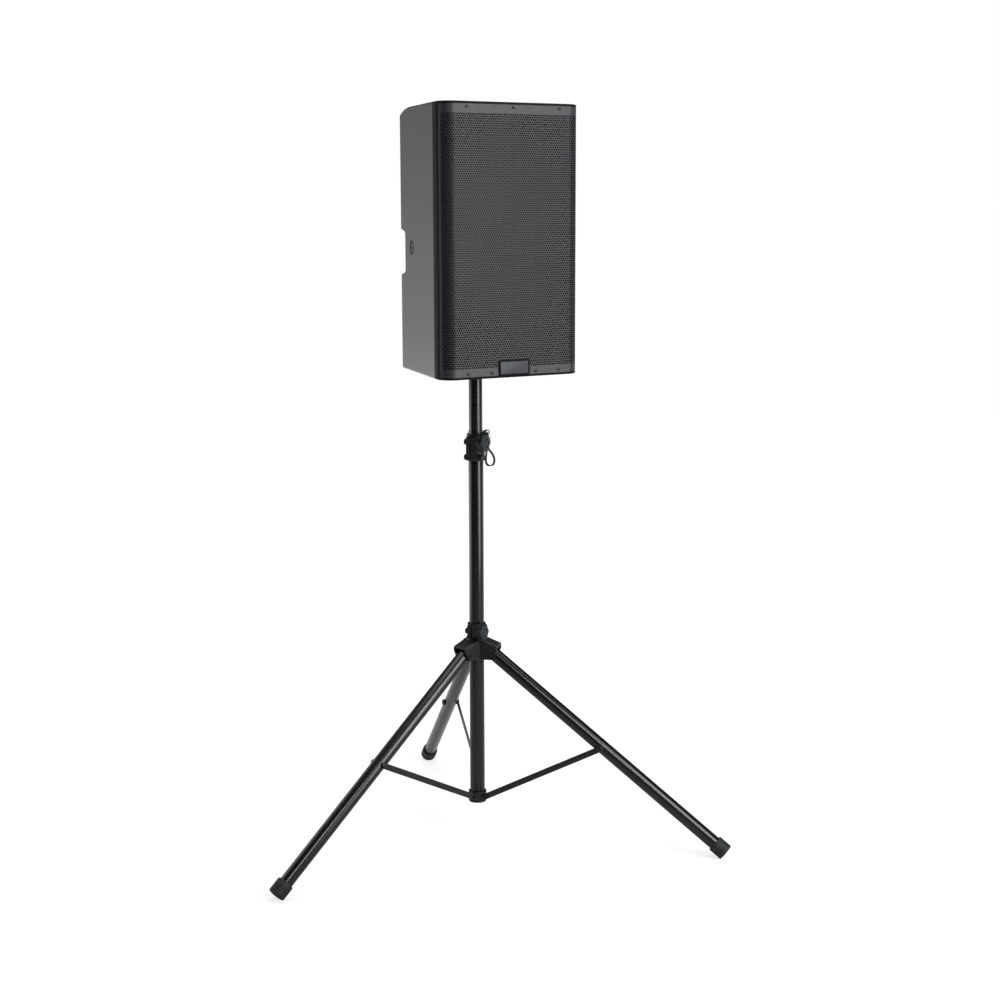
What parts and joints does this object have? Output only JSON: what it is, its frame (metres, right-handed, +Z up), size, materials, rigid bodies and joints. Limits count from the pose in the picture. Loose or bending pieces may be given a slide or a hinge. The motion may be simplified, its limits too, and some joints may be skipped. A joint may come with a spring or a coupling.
{
  "type": "pa speaker",
  "caption": "Two-way powered loudspeaker with a wrap-round perforated grille, on a folding tripod stand with a telescopic mast.",
  "frame": {"origin": "on the floor, on the axis of the mast, in the middle of the three feet", "axes": "+Z up; the loudspeaker faces -Y turned 30.1 degrees towards +X; +X to the right as seen from -Y"},
  "size_m": [1.0461, 1.0339, 1.728],
  "materials": {
    "tube_paint": "semi-gloss black powder coat",
    "mast_paint": "semi-gloss black powder coat",
    "strut_paint": "semi-gloss black powder coat on flat bar",
    "casting": "fine-grained black glass-filled nylon",
    "bolt_black": "black zinc plated steel",
    "bush_plastic": "smooth black acetal",
    "knob_plastic": "fine-grained black nylon",
    "pin_steel": "bright zinc plated steel",
    "lanyard_cord": "black braided cord",
    "rubber": "matte black rubber",
    "front_plastic": "black moulded polypropylene, fine grain",
    "rear_plastic": "black textured moulded polypropylene",
    "grille_paint": "black powder coated perforated steel",
    "foam": "black open-cell foam",
    "badge_plate": "dark anodised plate, blank",
    "basket_paint": "black coated steel",
    "magnet_iron": "ferrite and zinc plated steel",
    "surround_rubber": "coated cloth roll",
    "cone_paper": "black pressed paper",
    "horn_plastic": "black moulded plastic",
    "driver_iron": "black coated iron",
    "panel_paint": "fine-textured black paint",
    "heatsink_metal": "black anodised fins",
    "board_laminate": "green circuit board",
    "winding": "copper winding under clear tape",
    "display_glass": "dark display window",
    "control_plastic": "soft-touch black plastic",
    "rocker_plastic": "black switch plastic",
    "jack_plastic": "black connector plastic",
    "socket_metal": "cast aluminium",
    "insert_steel": "zinc plated steel"
  },
  "bodies": {
    "column": {"outer_tube": "tube_paint", "bottom_ring": "casting", "ring_bolts": "bolt_black", "upper_collar": "casting", "collar_bush": "bush_plastic", "collar_bolts": "bolt_black"},
    "upper_knob": {"upper_clamp_knob": "knob_plastic"},
    "mast": {"inner_mast": "mast_paint", "mast_bush": "bush_plastic"},
    "pin": {"locking_pin": "pin_steel", "lanyard": "lanyard_cord", "lanyard_crimp": "bolt_black"},
    "hub_carriage": {"hub": "casting", "hub_bush": "bush_plastic", "hub_bolts": "bolt_black"},
    "hub_knob": {"hub_clamp_knob": "knob_plastic"},
    "adapter": {"pole_adapter": "bush_plastic"},
    "speaker": {"front_baffle": "front_plastic", "rear_enclosure": "rear_plastic", "handle_cups": "rear_plastic", "grille": "grille_paint", "grille_foam": "foam", "badge": "badge_plate", "grille_screws": "bolt_black", "woofer_frame": "basket_paint", "woofer_magnet": "magnet_iron", "woofer_suspension": "surround_rubber", "horn": "horn_plastic", "compression_driver": "driver_iron", "port_tubes": "horn_plastic", "amp_panel": "panel_paint", "heatsink": "heatsink_metal", "circuit_board": "board_laminate", "transformer": "winding", "display": "display_glass", "signal_jacks": "jack_plastic", "power_inlet": "jack_plastic", "panel_screws": "bolt_black", "pole_socket": "socket_metal", "m10_inserts": "insert_steel", "rubber_feet": "rubber"},
    "cone": {"woofer_cone": "cone_paper"},
    "encoder": {"encoder_knob": "control_plastic"},
    "gain_left": {"gain_knob_a": "control_plastic"},
    "gain_right": {"gain_knob_b": "control_plastic"},
    "menu_key": {"menu_button": "control_plastic"},
    "back_key": {"back_button": "control_plastic"},
    "rocker": {"power_rocker": "rocker_plastic"},
    "front_leg": {"leg_tube_front": "tube_paint", "leg_fittings_front": "bolt_black", "foot_front": "rubber"},
    "front_strut": {"strut_front": "strut_paint"},
    "right_leg": {"leg_tube_right": "tube_paint", "leg_fittings_right": "bolt_black", "foot_right": "rubber"},
    "right_strut": {"strut_right": "strut_paint"},
    "rear_leg": {"leg_tube_rear": "tube_paint", "leg_fittings_rear": "bolt_black", "foot_rear": "rubber"},
    "rear_strut": {"strut_rear": "strut_paint"}
  },
  "joints": [
    {"name": "mast_slide", "type": "slide", "parent": "column", "child": "mast", "axis": [0, 0, 1], "range_m": [0, 0.4]},
    {"name": "upper_knob_turn", "type": "hinge", "parent": "column", "child": "upper_knob", "pos_m": [-0.01171, -0.02299, 0.963], "axis": [0.891, -0.454, 0], "range_deg": [0, 360]},
    {"name": "pin_pull", "type": "slide", "parent": "mast", "child": "pin", "axis": [1, 0, 0], "range_m": [0, 0.045]},
    {"name": "hub_slide", "type": "slide", "parent": "column", "child": "hub_carriage", "axis": [0, 0, 1], "range_m": [0, 0.30314]},
    {"name": "hub_knob_turn", "type": "hinge", "parent": "hub_carriage", "child": "hub_knob", "pos_m": [-0.01171, -0.02299, 0.511], "axis": [0.891, -0.454, 0], "range_deg": [0, 360]},
    {"name": "front_leg_fold", "type": "hinge", "parent": "hub_carriage", "child": "front_leg", "pos_m": [-0.03036, -0.02902, 0.4535], "axis": [0.6909, -0.723, 0], "range_deg": [0, 52.05]},
    {"name": "right_leg_fold", "type": "hinge", "parent": "hub_carriage", "child": "right_leg", "pos_m": [0.04031, -0.01179, 0.4535], "axis": [0.2807, 0.9598, 0], "range_deg": [0, 52.05]},
    {"name": "rear_leg_fold", "type": "hinge", "parent": "hub_carriage", "child": "rear_leg", "pos_m": [-0.00995, 0.04081, 0.4535], "axis": [-0.9715, -0.2368, 0], "range_deg": [0, 52.05]},
    {"name": "front_strut_fold", "type": "hinge", "parent": "column", "child": "front_strut", "pos_m": [-0.0188, -0.01796, 0.1028], "axis": [-0.6909, 0.723, 0], "range_deg": [0, 60.26]},
    {"name": "right_strut_fold", "type": "hinge", "parent": "column", "child": "right_strut", "pos_m": [0.02495, -0.0073, 0.1028], "axis": [-0.2807, -0.9598, 0], "range_deg": [0, 60.26]},
    {"name": "rear_strut_fold", "type": "hinge", "parent": "column", "child": "rear_strut", "pos_m": [-0.00616, 0.02526, 0.1028], "axis": [0.9715, 0.2368, 0], "range_deg": [0, 60.26]},
    {"name": "speaker_swivel", "type": "hinge", "parent": "mast", "child": "adapter", "pos_m": [0, 0, 1.2], "axis": [0, 0, 1], "continuous": true},
    {"name": "speaker_lift", "type": "slide", "parent": "adapter", "child": "speaker", "axis": [0, 0, 1], "range_m": [0, 0.11]},
    {"name": "cone_travel", "type": "slide", "parent": "speaker", "child": "cone", "axis": [0.5015, -0.8652, 0], "range_m": [-0.005, 0.005], "stiffness_N_per_m": 2500},
    {"name": "encoder_turn", "type": "hinge", "parent": "speaker", "child": "encoder", "pos_m": [-0.05679, 0.1578, 1.44], "axis": [-0.5015, 0.8652, 0], "continuous": true},
    {"name": "gain_left_turn", "type": "hinge", "parent": "speaker", "child": "gain_left", "pos_m": [-0.11043, 0.1267, 1.392], "axis": [-0.5015, 0.8652, 0], "range_deg": [-150, 150]},
    {"name": "gain_right_turn", "type": "hinge", "parent": "speaker", "child": "gain_right", "pos_m": [-0.05506, 0.1588, 1.392], "axis": [-0.5015, 0.8652, 0], "range_deg": [-150, 150]},
    {"name": "menu_press", "type": "slide", "parent": "speaker", "child": "menu_key", "axis": [0.5015, -0.8652, 0], "range_m": [0, 0.0015], "stiffness_N_per_m": 600},
    {"name": "back_press", "type": "slide", "parent": "speaker", "child": "back_key", "axis": [0.5015, -0.8652, 0], "range_m": [0, 0.0015], "stiffness_N_per_m": 600},
    {"name": "rocker_tip", "type": "hinge", "parent": "speaker", "child": "rocker", "pos_m": [-0.05454, 0.1539, 1.222], "axis": [0.8652, 0.5015, 0], "range_deg": [0, 8]}
  ],
  "couplings": [
    {"joint": "front_leg_fold", "follows": "hub_slide", "rad_per_m": 2.9962},
    {"joint": "right_leg_fold", "follows": "hub_slide", "rad_per_m": 2.9962},
    {"joint": "rear_leg_fold", "follows": "hub_slide", "rad_per_m": 2.9962},
    {"joint": "front_strut_fold", "follows": "hub_slide", "rad_per_m": 3.4691},
    {"joint": "right_strut_fold", "follows": "hub_slide", "rad_per_m": 3.4691},
    {"joint": "rear_strut_fold", "follows": "hub_slide", "rad_per_m": 3.4691}
  ]
}
